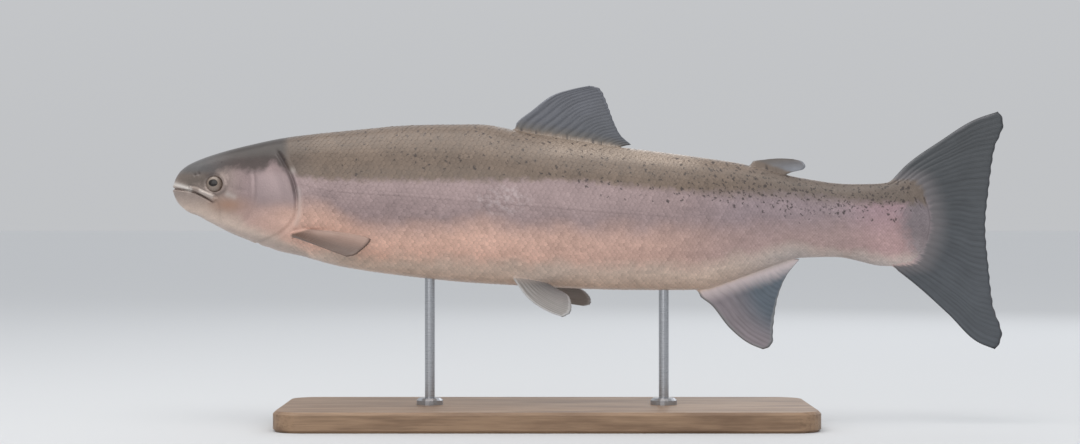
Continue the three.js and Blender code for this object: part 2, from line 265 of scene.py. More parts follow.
floor = linked("floor", gridMesh("floor", 4, 4, studio["floorSize"] / 2))
floorMaterial, _, floorShader = newMaterial("paleFloor")
floorShader.inputs["Base Color"].default_value = studio["floorColour"]
floorShader.inputs["Roughness"].default_value = 0.9
floor.data.materials.append(floorMaterial)
scene.view_settings.view_transform = "Standard"

# the body's lines, in millimetres: s back from the snout, h over the body's axis
body = {
    "half": 250, "axis": 122, "length": 455.4, "roundedFrom": 441, "coatDepth": 0.35, "headDepth": 0.15,
    "headEnd": 84, "bendAt": 200, "headBend": 2.5, "tailBend": 9, "sample": 0.5, "girthSteps": 200,
}


def curveThrough(knots):
    xs, ys = np.array(knots, float).T
    rise = np.diff(ys) / np.diff(xs)
    before, after = np.r_[rise[:1], rise], np.r_[rise, rise[-1:]]
    both = before * after > 0
    slope = np.where(both, 2 * before * after / np.where(both, before + after, 1), 0)

    def at(x):
        x = np.clip(np.asarray(x, float), xs[0], xs[-1])
        i = np.clip(np.searchsorted(xs, x, side="right") - 1, 0, len(xs) - 2)
        span = xs[i + 1] - xs[i]
        t = (x - xs[i]) / span
        bulge = slope[i] * t * (1 - t) ** 2 - slope[i + 1] * t * t * (1 - t)
        return ys[i] + (ys[i + 1] - ys[i]) * t * t * (3 - 2 * t) + bulge * span

    return at


def step(t):
    t = np.clip(t, 0, 1)
    return t * t * (3 - 2 * t)


def eased(curve, reach=3.0):  # the line's corners softened, but not at the snout and the tail's root
    x = np.arange(-60, 560, body["sample"])
    y = curve(x)
    kernel = np.exp(-0.5 * (np.arange(-40, 41) * body["sample"] / reach) ** 2)
    soft = np.convolve(y, kernel / kernel.sum(), mode="same")
    share = step((x - 14) / 26) * (1 - step((x - 425) / 12))
    return lambda s: np.interp(s, x, y + (soft - y) * share)


backLine = eased(curveThrough([
    (0, 20.6), (0.6, 23.6), (1.8, 26.9), (5, 31.4), (11, 35.5), (26, 41.2), (47, 46.7), (71, 51.5),
    (107, 55.4), (150, 58.8), (185, 59.1), (210, 54.8), (258, 47), (306, 40.8), (342, 35.6), (378, 27),
    (408, 23.1), (424, 23.2), (441, 26.8)]))
bellyLine = eased(curveThrough([
    (0, 19.6), (0.6, 15.8), (4, 10), (10, 5.4), (15, 3.6), (20, 0.8), (25, -1.8), (30, -4.4), (35, -7),
    (41, -9.4), (47, -11.7), (57, -15.2), (66, -18.4), (77, -20.5), (89, -24), (101, -27), (137, -32.4),
    (186, -37.2), (282, -41.2), (315, -41.2), (342, -33.6), (366, -25), (378, -21.8), (400, -21.3),
    (414, -24), (426, -26.7), (441, -26.9)]))
halfWidth = eased(curveThrough([
    (0, 1), (0.6, 3.6), (1.8, 5.4), (4, 7), (11, 9.4), (26, 13), (47, 17.8), (62, 20.2), (73, 21),
    (84, 20.8), (105, 23), (150, 25.6), (200, 25.6), (258, 23.6), (306, 20), (342, 15.4), (378, 11.2),
    (408, 8.3), (432, 6), (447, 4.2), (455, 2.6)]))
backFullness = curveThrough([(0, 2.2), (30, 2.5), (60, 2.35), (110, 2.1), (455, 2)])
bellyFullness = curveThrough([(0, 2), (30, 1.85), (60, 1.9), (110, 2.1), (300, 2.15), (455, 2)])
lateralLine = curveThrough([(60, 27), (76, 24.5), (100, 20), (150, 16.5), (220, 11), (300, 5), (380, 1.5),
                            (455, 0.5)])


def topAndBottom(s):
    s = np.minimum(s, body["roundedFrom"])
    return backLine(s), bellyLine(s)


def sway(s):
    ahead = np.clip(1 - s / body["bendAt"], 0, None)
    behind = np.clip((s - body["bendAt"]) / 300, 0, None)
    return body["headBend"] * ahead ** 2 - body["tailBend"] * behind ** 2


def inFrame(s, h, y):
    return np.stack([(s - body["half"]) * mm, (y + sway(s)) * mm, (h + body["axis"]) * mm], axis=-1)


def bodySection(s, turn, grow=0.0):  # height and half width at a turn from 0, the back, to pi, the belly
    top, bottom = topAndBottom(s)
    into = np.clip((s - body["roundedFrom"]) / (body["length"] - body["roundedFrom"]), 0, 1)
    half = (top - bottom) / 2 * np.sqrt(1 - into ** 2) + grow
    up, across = np.cos(turn), np.sin(turn)
    power = 2 / np.where(up > 0, backFullness(s), bellyFullness(s))
    h = (top + bottom) / 2 + np.sign(up) * half * np.abs(up) ** power
    return h, (halfWidth(s) + grow) * np.abs(across) ** power


# equal steps of girth: q runs from 0 on the back to 1 on the belly
stationList = np.arange(0, 455.3, body["sample"])
turnList = np.linspace(0, math.pi, 541)
shareList = np.linspace(0, 1, body["girthSteps"] + 1)
ringH, ringY = bodySection(stationList[:, None], turnList[None, :])
ringArc = np.cumsum(np.hypot(np.diff(ringH, axis=1), np.diff(ringY, axis=1)), axis=1)
ringArc = np.concatenate([np.zeros((len(stationList), 1)), ringArc], axis=1)
girth = ringArc[:, -1]
turnTable = np.array([np.interp(shareList * g, arc, turnList) for g, arc in zip(girth, ringArc)])
lateralShare = np.array([np.interp(-lateralLine(s), -h, arc / g)
                         for s, h, arc, g in zip(stationList, ringH, ringArc, girth)])


def halfGirth(s):
    return np.interp(s, stationList, girth)


def sample(table, x, z):  # the table's value between its rows and columns
    i = np.minimum(x.astype(int), table.shape[0] - 2)
    j = np.minimum(z.astype(int), table.shape[1] - 2)
    a, b = ((x - i)[:, None], (z - j)[:, None]) if table.ndim == 3 else (x - i, z - j)
    return ((table[i, j] * (1 - a) + table[i + 1, j] * a) * (1 - b)
            + (table[i, j + 1] * (1 - a) + table[i + 1, j + 1] * a) * b)


def bodyPoint(s, q, side, grow=0.0):  # side is -1 on the left and 1 on the right
    x = np.clip(s / body["sample"], 0, len(stationList) - 1.001)
    z = np.clip(q * body["girthSteps"], 0, body["girthSteps"] - 0.001)
    h, y = bodySection(s, sample(turnTable, x, z), grow)
    return h, y * side


def smoothPath(marks, count):  # a smooth run through the marks, in equal steps
    points = np.array(marks, float)
    gaps = np.linalg.norm(np.diff(points, axis=0), axis=1)
    at = np.r_[0, np.cumsum(gaps)]
    fine = np.linspace(0, at[-1], 400)
    rise = np.diff(points, axis=0) / gaps[:, None]
    before, after = gaps[:-1, None], gaps[1:, None]
    slope = np.concatenate([rise[:1], (rise[1:] * before + rise[:-1] * after) / (before + after), rise[-1:]])
    i = np.clip(np.searchsorted(at, fine, side="right") - 1, 0, len(gaps) - 1)
    t = ((fine - at[i]) / gaps[i])[:, None]
    a, b, g = points[i], points[i + 1], gaps[i][:, None]
    line = (a * (2 * t ** 3 - 3 * t ** 2 + 1) + b * (3 * t ** 2 - 2 * t ** 3)
            + slope[i] * g * (t ** 3 - 2 * t ** 2 + t) + slope[i + 1] * g * (t ** 3 - t ** 2))
    run = np.r_[0, np.cumsum(np.linalg.norm(np.diff(line, axis=0), axis=1))]
    wanted = np.linspace(0, run[-1], count)
    return np.stack([np.interp(wanted, run, line[:, k]) for k in range(points.shape[1])], axis=-1)


# head details: lines in (s, h) over the side of the head
headLines = {
    "gillEdge": [(62, 44), (66, 38.5), (69, 33.7), (73.7, 24.1), (75.8, 13.2), (74.9, 3.6), (67, -5.5),
                 (54, -11), (44, -15)],
    "mouth": [(-4, 20.8), (0, 20.1), (7, 19.3), (14.2, 17.8), (19.6, 15.4), (24, 12.9), (26.2, 11.3)],
    "jawHinge": [(27.6, 13.2), (29.4, 9.5), (29.6, 4), (28.8, -1)],
    "preopercle": [(50, 34), (51.2, 22), (50.4, 11), (46.5, 3), (39, -2), (32, -3.4)],
    "subopercle": [(50.6, 6.5), (60, 5.4), (69, 1.6), (73, -0.6)],
    "interopercle": [(30, 3.5), (40, -2.8), (52, -6.2), (62, -7)],
    "cheekRing": [(17.5, 20.4), (21.5, 16.6), (26.5, 15), (31.5, 16.6), (34.6, 20.6),
                  (35.6, 25.6), (34, 30.6)],
    "cheekBone": [(34.8, 21.2), (41, 19.2), (48.6, 18)],
    "cheekBoneLow": [(30.8, 15.8), (36, 10.6), (42.5, 5.6)],
}
eyePlace = {"s": 26.6, "h": 22.8, "y": 9.6, "opening": 4.3}
nostrils = [(14.4, 28.4), (16.7, 29.0)]
maxillaOutline = [(11.2, 21.4), (15.5, 20.5), (19.4, 18.6), (23, 16.9), (26.4, 15.9), (27.8, 13.9),
                  (26.6, 12.4), (24, 12.8), (20.5, 15.2), (16, 17.9), (11.2, 19.6)]


def bell(x, width):
    return np.exp(-0.5 * (x / width) ** 2)


def ends(share, fade=0.12):
    return step(share / fade) * step((1 - share) / fade)


def near(s, h, place, width):
    return bell(np.hypot(s - place[0], h - place[1]), width)


def nearLine(s, h, marks, closed=False):  # distance, side (positive to the left) and share of the run
    line = smoothPath(marks, 48) if not closed else np.array([*marks, marks[0]], float)
    best = np.full(s.shape, 1e9)
    side, share = np.zeros(s.shape), np.zeros(s.shape)
    for k, (a, d) in enumerate(zip(line, np.diff(line, axis=0))):
        t = np.clip(((s - a[0]) * d[0] + (h - a[1]) * d[1]) / (d @ d), 0, 1)
        gap = np.hypot(s - a[0] - t * d[0], h - a[1] - t * d[1])
        nearer = gap < best
        best = np.where(nearer, gap, best)
        side = np.where(nearer, np.sign(d[0] * (h - a[1]) - d[1] * (s - a[0])), side)
        share = np.where(nearer, (k + t) / (len(line) - 1), share)
    return best, side, share


def insideOutline(s, h, outline):
    found = np.zeros(s.shape, bool)
    points = np.array(outline, float)
    for (x0, y0), (x1, y1) in zip(points, np.roll(points, -1, axis=0)):
        crosses = (y0 > h) != (y1 > h)
        found ^= crosses & (s < (x1 - x0) * (h - y0) / (y1 - y0 + 1e-9) + x0)
    return found


headGrooves = {  # depth and width of each fold
    "subopercle": (0.22, 0.5), "interopercle": (0.32, 0.5), "jawHinge": (0.32, 0.6),
    "cheekRing": (0.16, 0.5), "cheekBone": (0.14, 0.5), "cheekBoneLow": (0.14, 0.5),
}


def headRelief(s, h, y):  # how far the head's surface stands out, in millimetres
    lift = np.zeros(s.shape)
    off = np.abs(y)
    beside = step((off - 2.0) / 3.0)
    # mouth: a closed cleft between two full lips
    d, _, share = nearLine(s, h, headLines["mouth"])
    lift -= (0.9 + 0.6 * step((s - 10) / 8)) * bell(d, 0.42) * step((1 - share) / 0.08)
    lift += 0.34 * bell(d - 1.25, 0.7) * step((1 - share) / 0.3) * step((12 - s) / 4)
    # upper jaw bone
    d, _, _ = nearLine(s, h, maxillaOutline, closed=True)
    signed = np.where(insideOutline(s, h, maxillaOutline), d, -d)
    lift += 0.75 * step((signed + 0.35) / 0.75) * step((off - 4) / 2)
    lift -= 0.35 * bell(signed + 0.75, 0.35)
    # eye socket with a soft rim
    d = np.hypot(s - eyePlace["s"], h - eyePlace["h"]) - eyePlace["opening"]
    socket = 1 - step(d / 0.7)
    lift -= 0.3 * bell(d - 0.5, 0.7)
    lift += 0.22 * bell(d - 1.9, 0.8)
    lift -= 0.28 * bell(d - 3.3, 0.6) * step((s - 24) / 5) * step((27 - h) / 4)
    lift = lift * (1 - socket) - 3.4 * socket
    # gill cover: it rises to its edge and drops to the trunk
    d, side, share = nearLine(s, h, headLines["gillEdge"])
    ahead = np.where(side < 0, d, -d)
    edge = ends(share, 0.1)
    gape = 0.3 + 0.7 * step((h - 4) / 10)
    lift += edge * (0.3 + 0.45 * gape) * step((ahead + 0.25) / 0.6) * step((9 - ahead) / 9)
    lift -= edge * 1.1 * gape * bell(ahead + 0.75, 0.5)
    lift += edge * 0.3 * bell(ahead + 3.0, 1.0)
    # plates of the cheek and gill cover
    d, side, share = nearLine(s, h, headLines["preopercle"])
    lift -= ends(share) * 0.2 * bell(d, 0.6)
    lift += ends(share) * 0.1 * bell(d - 1.6, 1.0) * (side < 0)
    for name, (depth, width) in headGrooves.items():
        d, _, share = nearLine(s, h, headLines[name])
        lift -= beside * ends(share) * depth * bell(d, width)
    # rays of the gill membrane, under the gill cover
    d, side, _ = nearLine(s, h, headLines["interopercle"])
    under = np.where(side < 0, d, 0)
    within = step(under / 1.5) * step((13 - under) / 4) * step((s - 34) / 6) * step((70 - s) / 6)
    lift += 0.16 * np.cos(under * 2 * math.pi / 2.1) * within * beside
    for place, width in zip(nostrils, (0.62, 0.8)):
        lift -= 0.9 * near(s, h, place, width) * step((off - 2) / 1.5)
    lift += 0.25 * near(s, h, (15.6, 28.7), 1.9) * step((off - 2) / 1.5)
    # a groove between the jaws underneath
    chin = step((bellyLine(s) - h + 3.0) / 2.0)
    lift -= chin * 0.55 * bell(off - 1.1, 0.45) * step((s - 5) / 4) * step((46 - s) / 8)
    return lift


# skin
skin = {"ringSteps": (24, 58, 178, 192), "ringPlaces": (34, 84, 432, 455.4), "around": 80}


def skinSurface():
    bm = bmesh.new()
    steps, places = skin["ringSteps"], skin["ringPlaces"]
    bmesh.ops.create_grid(bm, x_segments=steps[-1], y_segments=skin["around"], size=0.5)
    for limit in (steps[1] + 2, steps[0] + 1):  # finer over the head, and finer again over the snout
        edge = limit / steps[-1] - 0.5 + 1e-6
        chosen = [e for e in bm.edges if all(v.co.x < edge for v in e.verts)]
        bmesh.ops.subdivide_edges(bm, edges=chosen, cuts=1, use_grid_fill=True)
    mesh = meshFrom(bm, "skinSurface")
    grid = coordsOf(mesh)
    ring = (grid[:, 0] + 0.5) * steps[-1]
    s = np.where(ring < steps[0], (ring / steps[0]) ** 1.5 * places[0], np.interp(ring, steps, places))
    last = np.clip((ring - steps[2]) / (steps[3] - steps[2]), 0, 1)
    s = np.where(last > 0, places[2] + (places[3] - places[2]) * np.sin(last * math.pi / 2), s)
    q = np.abs(2 * grid[:, 1])
    side = np.where(grid[:, 1] > 0, -1.0, 1.0)
    deep = body["headDepth"] + (body["coatDepth"] - body["headDepth"]) * step((s - 62) / 16)
    h, y = bodyPoint(s, q, side, -deep)
    pinch = step(s / 0.25) * (s < 455.3)
    middle = sum(topAndBottom(s)) / 2
    h, y = middle + (h - middle) * pinch, y * pinch
    setCoords(mesh, inFrame(s, h, y))
    lieMap = np.stack([s, side * q * halfGirth(s), h], axis=-1)
    setAttribute(mesh, "lie", lieMap, "FLOAT_VECTOR", "CORNER")
    setAttribute(mesh, "rise", np.zeros(len(s)))
    normal = coordsOf(mesh, "normal")
    normal *= np.sign(np.sum(normal[:, 1] * side * np.sin(math.pi * q)))  # outwards
    normal[s < 0.3] = (-1, 0, 0)
    lift = np.where(s < body["headEnd"], headRelief(s, h, y), 0)
    co = coordsOf(mesh) + normal * lift[:, None] * mm
    seams = [np.flatnonzero(np.abs(grid[:, 1] - end) < 1e-6) for end in (-0.5, 0.5)]
    seams = [seam[np.argsort(s[seam])] for seam in seams]  # the two edges that meet along the belly
    co[seams[0]] = co[seams[1]] = (co[seams[0]] + co[seams[1]]) / 2
    setCoords(mesh, co)
    closeUp(mesh)
    return mesh


# fins
fins = {
    "dorsalFin": {
        "lead": [(205, 50), (205.6, 56.6), (217.6, 68), (229, 76.4), (241, 80.2), (252, 82.4)],
        "trail": [(266, 41), (271, 45.4), (276.4, 46.6)],
        "margin": [(252, 82.4), (257.6, 80.8), (261.4, 74), (264, 66.5), (266.5, 59.5), (270, 52.5),
                   (276.4, 46.6)],
        "rays": 12, "columns": 6, "rows": 30, "thick": (2.2, 0.55), "flare": 2.4, "bend": 1.4,
    },
    "adiposeFin": {
        "lead": [(346, 31), (348, 35.6), (357, 37.9), (367, 38.4), (374.5, 37.9)],
        "trail": [(367, 26), (371.5, 29.4), (377.5, 31)],
        "margin": [(374.5, 37.9), (380, 36.2), (381.4, 33.4), (380.2, 31.8), (377.5, 31)],
        "rays": 0, "columns": 26, "rows": 18, "thick": (3.0, 1.3), "flare": 1.4, "bend": 0.4,
    },
    "analFin": {
        "lead": [(315, -36), (315.8, -42), (325, -50.4), (335.6, -63.8), (347, -73), (356.5, -77)],
        "trail": [(371, -18), (374, -21.4), (377.4, -22.6)],
        "margin": [(356.5, -77), (360.8, -74.8), (362.2, -64), (363.2, -54), (365.4, -43), (370, -32),
                   (377.4, -22.6)],
        "rays": 11, "columns": 6, "rows": 30, "thick": (2.4, 0.55), "flare": 2.2, "bend": -1.2,
    },
    "tailFin": {
        "lead": [(424, 20), (432, 25), (441, 34), (462, 49), (482, 61.4), (497, 66.6)],
        "trail": [(424, -20), (432, -26), (448, -38.6), (466, -55), (484, -72.2), (495, -76.6)],
        "margin": [(497, 66.6), (499.6, 62), (494.6, 44), (491.4, 22), (489, -3.4), (490.6, -25),
                   (493.4, -50), (498.2, -71), (495, -76.6)],
        "root": [(424, 20), (438, 20), (444, 10), (446, 0), (444, -10), (438, -20), (424, -20)],
        "rays": 21, "columns": 6, "rows": 40, "thick": (3.0, 0.6), "flare": 1.6, "bend": 1.6, "sunk": 8,
    },
    "pectoralFin": {
        "lead": [(71, -8.4, 11), (73.5, -8.2, 18), (84, -11.6, 31), (98, -16.6, 43), (109.6, -20.6, 50)],
        "trail": [(80, -5, 15), (94, -5.4, 23), (108, -6.2, 26), (118.5, -7.8, 29.5)],
        "margin": [(109.6, -20.6, 50), (114, -20, 50.2), (118.6, -16.6, 46), (121.6, -12.6, 39),
                   (122, -9.6, 33.4), (118.5, -7.8, 29.5)],
        "rays": 13, "columns": 5, "rows": 28, "thick": (2.6, 0.5), "flare": 1.2, "bend": 1.0,
    },
    "pelvicFin": {
        "lead": [(203, -30.5, 8), (207, -36, 16), (214, -45, 22), (226, -53, 28), (235.5, -56.4, 30.8)],
        "trail": [(219, -32, 4), (226, -36.5, 9), (233, -40, 13.6)],
        "margin": [(235.5, -56.4, 30.8), (239.4, -54.4, 29), (240.4, -49.4, 24.6), (238.4, -43.6, 18.6),
                   (233, -40, 13.6)],
        "rays": 10, "columns": 5, "rows": 26, "thick": (2.2, 0.5), "flare": 1.0, "bend": 0.8,
    },
    "pelvicFinSwept": {
        "lead": [(203, -30.5, 8), (207, -36, 16), (218, -43.6, 21), (234, -49, 25), (249, -51.6, 27)],
        "trail": [(219, -32, 4), (230, -36.4, 9), (243, -40, 14)],
        "margin": [(249, -51.6, 27), (252.8, -50, 25.6), (253, -47, 23), (250, -43, 18.4), (243, -40, 14)],
        "rays": 10, "columns": 5, "rows": 26, "thick": (2.2, 0.5), "flare": 1.0, "bend": 0.8,
    },
}


def rounded(x):  # from 0 at an edge up to 1
    return np.sqrt(np.clip(1 - (1 - np.clip(x, 0, 1)) ** 2, 0, 1))


def finBlade(name, side):
    shape = fins[name]
    rays = shape["rays"]
    mesh = gridMesh(name, 2 * shape["columns"] * max(rays, 1), shape["rows"])
    grid = coordsOf(mesh)
    loop = (grid[:, 0] + 0.5) * 2  # up to 1 on one face of the blade, then back on the other
    u = np.where(loop <= 1, loop, 2 - loop)
    face = np.where(loop <= 1, 1.0, -1.0)
    face[np.abs(loop - np.round(loop)) < 1e-6] = 0
    v = grid[:, 1] + 0.5

    fine = 161
    last = fine - 1
    edge = {}
    for key in ("lead", "trail", "margin", "root"):
        marks = shape.get(key, [shape["lead"][0], shape["trail"][0]])
        edge[key] = smoothPath([(m[0], m[1], m[2] * side if len(m) == 3 else 0.0) for m in marks], fine)
    lead, trail = edge["lead"], edge["trail"]
    us, vs = np.linspace(0, 1, fine)[:, None, None], np.linspace(0, 1, fine)[None, :, None]
    patch = ((1 - vs) * edge["root"][:, None] + vs * edge["margin"][:, None] + (1 - us) * lead + us * trail
             - ((1 - us) * (1 - vs) * lead[0] + us * (1 - vs) * trail[0]
                + (1 - us) * vs * lead[-1] + us * vs * trail[-1]))
    across = np.cross(np.gradient(patch, axis=0), np.gradient(patch, axis=1))
    across /= np.linalg.norm(across, axis=2, keepdims=True) + 1e-9

    notch = 0.008 * (0.5 - 0.5 * np.cos(2 * math.pi * u * rays)) if rays else 0
    reach = np.clip(v * (1 - 0.015 + notch), 0, 1)
    point = sample(patch, u * last, reach * last)
    normal = sample(across, u * last, v * last)
    foot = sample(patch, u * last, v * 0)
    rise = np.clip(np.linalg.norm(point - foot, axis=1) - shape.get("sunk", 4.5), 0, None)
    ridge = 1.0
    if rays:  # each ray splits in two further out
        split = step((v - 0.4) / 0.25)
        whole = np.abs(np.cos(math.pi * (u * rays + 0.5))) ** 0.8
        halves = np.abs(np.cos(math.pi * (2 * u * rays + 0.5))) ** 0.9
        ridge = 0.74 + 0.26 * (whole * (1 - split) + halves * 0.8 * split)
    footThick, tipThick = shape["thick"]
    thick = (tipThick + (footThick - tipThick) * (1 - v) ** 1.6) * ridge
    thick = (thick + shape["flare"] * np.exp(-rise / 1.8)) * (v > 1e-6)
    thick *= rounded((1 - v) / 0.03) * rounded(u / 0.02) * rounded((1 - u) / 0.02)
    wave = shape["bend"] * np.sin(math.pi * (u * 1.4 + 0.1)) * step((v - 0.15) / 0.85) * 0.8
    point = point + normal * (wave + face * thick / 2)[:, None]
    setCoords(mesh, inFrame(*point.T))
    arc = np.where(foot[:, 1] > 0, 1.0, 100.0)  # on the back's line or far below it
    lieMap = np.stack([point[:, 0], arc * side, foot[:, 1]], axis=-1)
    setAttribute(mesh, "lie", lieMap, "FLOAT_VECTOR", "CORNER")
    setAttribute(mesh, "rise", rise / 10)
    raysMap = np.stack([u * max(rays, 1), v], axis=-1)
    mesh.uv_layers.new(name="rays").data.foreach_set("uv", packed(raysMap[cornersOf(mesh)]))
    closeUp(mesh)
    mesh.materials.append(finMaterials[name])
    return linked(name, mesh)


# markings, for skin, scales and the fins' feet, over the lie map (s, girth, height)
print("building materials")
tones = {name: tone(*rgb) for name, rgb in {
    "flank": (151, 132, 131), "flankHead": (154, 139, 131), "flankRear": (150, 134, 137),
    "stockPink": (165, 139, 144), "pink": (222, 182, 164), "belly": (206, 186, 172),
    "underStock": (182, 172, 168), "throat": (180, 163, 153), "stockEnd": (124, 118, 121),
    # the pale back tone is a painted highlight: sunlit glints along the top of the back
    "stockEndLow": (142, 134, 136), "back": (114, 98, 85), "paintedBackGlints": (168, 152, 138),
    "stockTop": (108, 96, 87), "cap": (76, 65, 62), "capTop": (50, 42, 38), "capFront": (84, 82, 82),
    "spot": (50, 41, 40), "scuff": (178, 164, 164), "silver": (157, 140, 140), "warm": (166, 130, 108),
    # the dark head tone is painted shade for the head's clefts, grooves and hollows
    # the pale head tone is partly the head's own pale colour and partly painted highlight
    "paleAndPaintedHighlight": (208, 202, 196), "paintedCreaseShade": (64, 51, 50),
}.items()}
markings, marksIn, marksOut = newGroup("troutMarkings", [("Spot Strength", "Float", 1.0)], [
    ("Color", "Color"), ("Shine", "Float"), ("Roughness", "Float")])
g = markings
lie = attribute(g, "lie", "Vector")
sAt, arcAt, hAt = addNode(g, "SeparateXYZ", Vector=lie).outputs
sheet = addNode(g, "CombineXYZ", X=sAt, Y=arcAt).outputs[0]
blotch = noise(g, sheet, 0.045, 3, 0.55)
ragged = noise(g, sheet, 0.22, 3, 0.6)
grain = noise(g, sheet, 1.1, 2, 0.6)
raggedH, softH = varied(g, ragged, 8.0, hAt), varied(g, blotch, 14.0, hAt)
charts = {name: curveOf(g, sAt, knots, low, high) for name, (low, high, knots) in {
    "backEdge": (0, 50, [
        (0, 25), (6, 23.5), (12, 21.5), (18, 21.5), (22, 24), (28, 30), (31, 31), (41, 32), (46, 30.5),
        (52, 30), (58, 31.5), (62, 36), (66, 33), (70, 31), (80, 27.2), (100, 25.8), (180, 25), (240, 25.4),
        (258, 23.5), (290, 20.5), (318, 18), (340, 17), (366, 16.6), (396, 13.6), (420, 11.6), (440, 11.4),
        (500, 11)]),
    "edgeSoftness": (0, 10, [
        (0, 3.6), (60, 3.6), (80, 2.6), (300, 2.6), (340, 5), (395, 4.6), (425, 2.8), (500, 2.6)]),
    "pinkTop": (-20, 20, [
        (0, 8), (40, 9), (60, 10), (76, 10), (92, 7), (110, 0), (130, -3.5), (155, -4), (185, -1),
        (215, -4), (280, -5), (330, -4), (400, -2), (500, -2)]),
    "pinkAmount": (0, 1, [
        (0, 0.1), (30, 0.25), (55, 0.55), (85, 0.9), (110, 1), (170, 0.95), (230, 0.8), (290, 0.6),
        (336, 0.32), (400, 0.25), (500, 0.2)]),
    "bellyTop": (-40, 20, [
        (0, 14), (24, 8), (40, 3), (50, -2), (62, -8), (80, -14), (150, -21), (300, -25), (340, -20),
        (372, -14), (420, -20), (500, -20)]),
    "throatTop": (-40, 20, [
        (0, 8), (10, 6), (23, 1.2), (33, -1.8), (47, -6.5), (55, -8.4), (67, -12), (80, -18), (100, -30),
        (500, -30)]),
    # how strongly the painted sunlit glints show along the back
    "backGlintAmount": (0, 1, [(0, 0), (200, 0.1), (235, 0.6), (300, 0.95), (326, 0.25), (500, 0.05)]),
}.items()}


def layered(colour, *layers):
    for share, name in layers:
        colour = mixColour(g, share, colour, tones[name])
    return colour


overEdge = minus(g, hAt, charts["backEdge"])
backMask = calc(g, "DIVIDE", minus(g, raggedH, charts["backEdge"]), charts["edgeSoftness"])
backMask = ramp(g, backMask, -1.2, 0.9)
pinkMask = times(g, ramp(g, minus(g, charts["pinkTop"], softH), -9.0, 9.0), charts["pinkAmount"])
bellyMask = ramp(g, minus(g, charts["bellyTop"], softH), -5.0, 7.0)
throatMask = times(g, ramp(g, minus(g, hAt, charts["throatTop"]), 2.5, -2.5), ramp(g, sAt, 104, 88))
rearward = ramp(g, sAt, 320, 380)
colour = layered(
    tones["flank"], (ramp(g, sAt, 48, 26), "flankHead"), (ramp(g, sAt, 300, 350), "flankRear"),
    (ramp(g, sAt, 395, 430), "stockPink"), (pinkMask, "pink"), (bellyMask, "belly"),
    (times(g, bellyMask, rearward), "underStock"), (throatMask, "throat"))
# the grey end of the tail stock, which curves back above and below
endAt = calc(g, "MULTIPLY_ADD", times(g, hAt, hAt), -0.02, varied(g, ragged, 14.0, sAt))
endColour = layered(tones["stockEnd"], (ramp(g, softH, -8, -14), "stockEndLow"))
colour = mixColour(g, ramp(g, endAt, 432.0, 445.0, 0.0, 0.85), colour, endColour)
# the back, with painted sunlit glints along its top behind the fin, and the dark crown
paintedBackGlints = times(g, ramp(g, overEdge, 11.0, 18.0), ramp(g, grain, 0.32, 0.6, 0.3, 1.0))
paintedBackGlints = times(g, paintedBackGlints, charts["backGlintAmount"])
topColour = layered(tones["back"], (rearward, "stockTop"), (paintedBackGlints, "paintedBackGlints"))
capColour = layered(tones["cap"], (ramp(g, hAt, 33, 43), "capTop"), (ramp(g, sAt, 42, 14), "capFront"))
topColour = mixColour(g, attribute(g, "cap"), topColour, capColour)
colour = mixColour(g, backMask, colour, topColour)
# a scuffed pale patch on the upper flank
scuffAt = lengthOf(g, addNode(g, "CombineXYZ", X=times(g, minus(g, sAt, 199), 0.055),
                              Y=times(g, minus(g, hAt, 13), 0.1)).outputs[0])
scuff = times(g, ramp(g, scuffAt, 1.15, 0.5), ramp(g, ragged, 0.42, 0.62))
colour = layered(colour, (times(g, scuff, 0.5), "scuff"))
# uneven skin: broad clouds and a fine grain
mottle = times(g, varied(g, blotch, 0.5), times(g, varied(g, grain, 0.42), varied(g, ragged, 0.35)))
colour = shaded(g, colour, mottle)

spotKinds = {  # cell, radius, the pattern's shift, and the share of cells with a spot along the body
    "big": (4.4, 0.72, 40.0, [(0, 0.02), (60, 0.08), (120, 0.2), (140, 0.32), (282, 0.38), (310, 0.6),
                              (340, 0.95), (440, 0.95), (452, 0.3), (500, 0.0)]),
    "small": (2.9, 0.5, 190.0, [(0, 0.02), (60, 0.03), (120, 0.08), (140, 0.16), (282, 0.2), (310, 0.36),
                                (340, 0.7), (440, 0.75), (452, 0.2), (500, 0.0)]),
}
spotReach = [(0, 14), (50, 20), (80, 34), (110, 44), (280, 43), (330, 37), (380, 30), (420, 24), (500, 22)]


def spotLayer(cell, radius, shift, amount):
    drift = addNode(g, "TexNoise", Vector=sheet, Scale=0.55, Detail=3.0).outputs["Color"]
    moved = addNode(g, "VectorMath", {"operation": "ADD"}, i0=sheet, i1=(shift, shift, 0)).outputs[0]
    bent = addNode(g, "VectorMath", {"operation": "MULTIPLY_ADD"}, i0=drift, i1=(4.2, 4.2, 0.0), i2=moved)
    cells = addNode(g, "TexVoronoi", {"voronoi_dimensions": "2D"}, Vector=bent.outputs[0], Scale=1 / cell)
    luck, size, _ = addNode(g, "SeparateColor", Color=cells.outputs["Color"]).outputs
    where = addNode(g, "SeparateXYZ", Vector=cells.outputs["Position"]).outputs
    cellS = minus(g, where[0], shift + 2.1)
    cellArc = calc(g, "ABSOLUTE", minus(g, where[1], shift + 2.1))
    limit = curveOf(g, cellS, spotReach, 0, 60)
    density = times(g, curveOf(g, cellS, amount, 0, 1), ramp(g, minus(g, limit, cellArc), -4.0, 12.0))
    here = calc(g, "LESS_THAN", luck, density)
    reach = calc(g, "MULTIPLY_ADD", size, radius * 0.7, radius * 0.55)
    apart = minus(g, times(g, cells.outputs["Distance"], cell), reach)
    return times(g, here, ramp(g, apart, 0.35, -0.35))


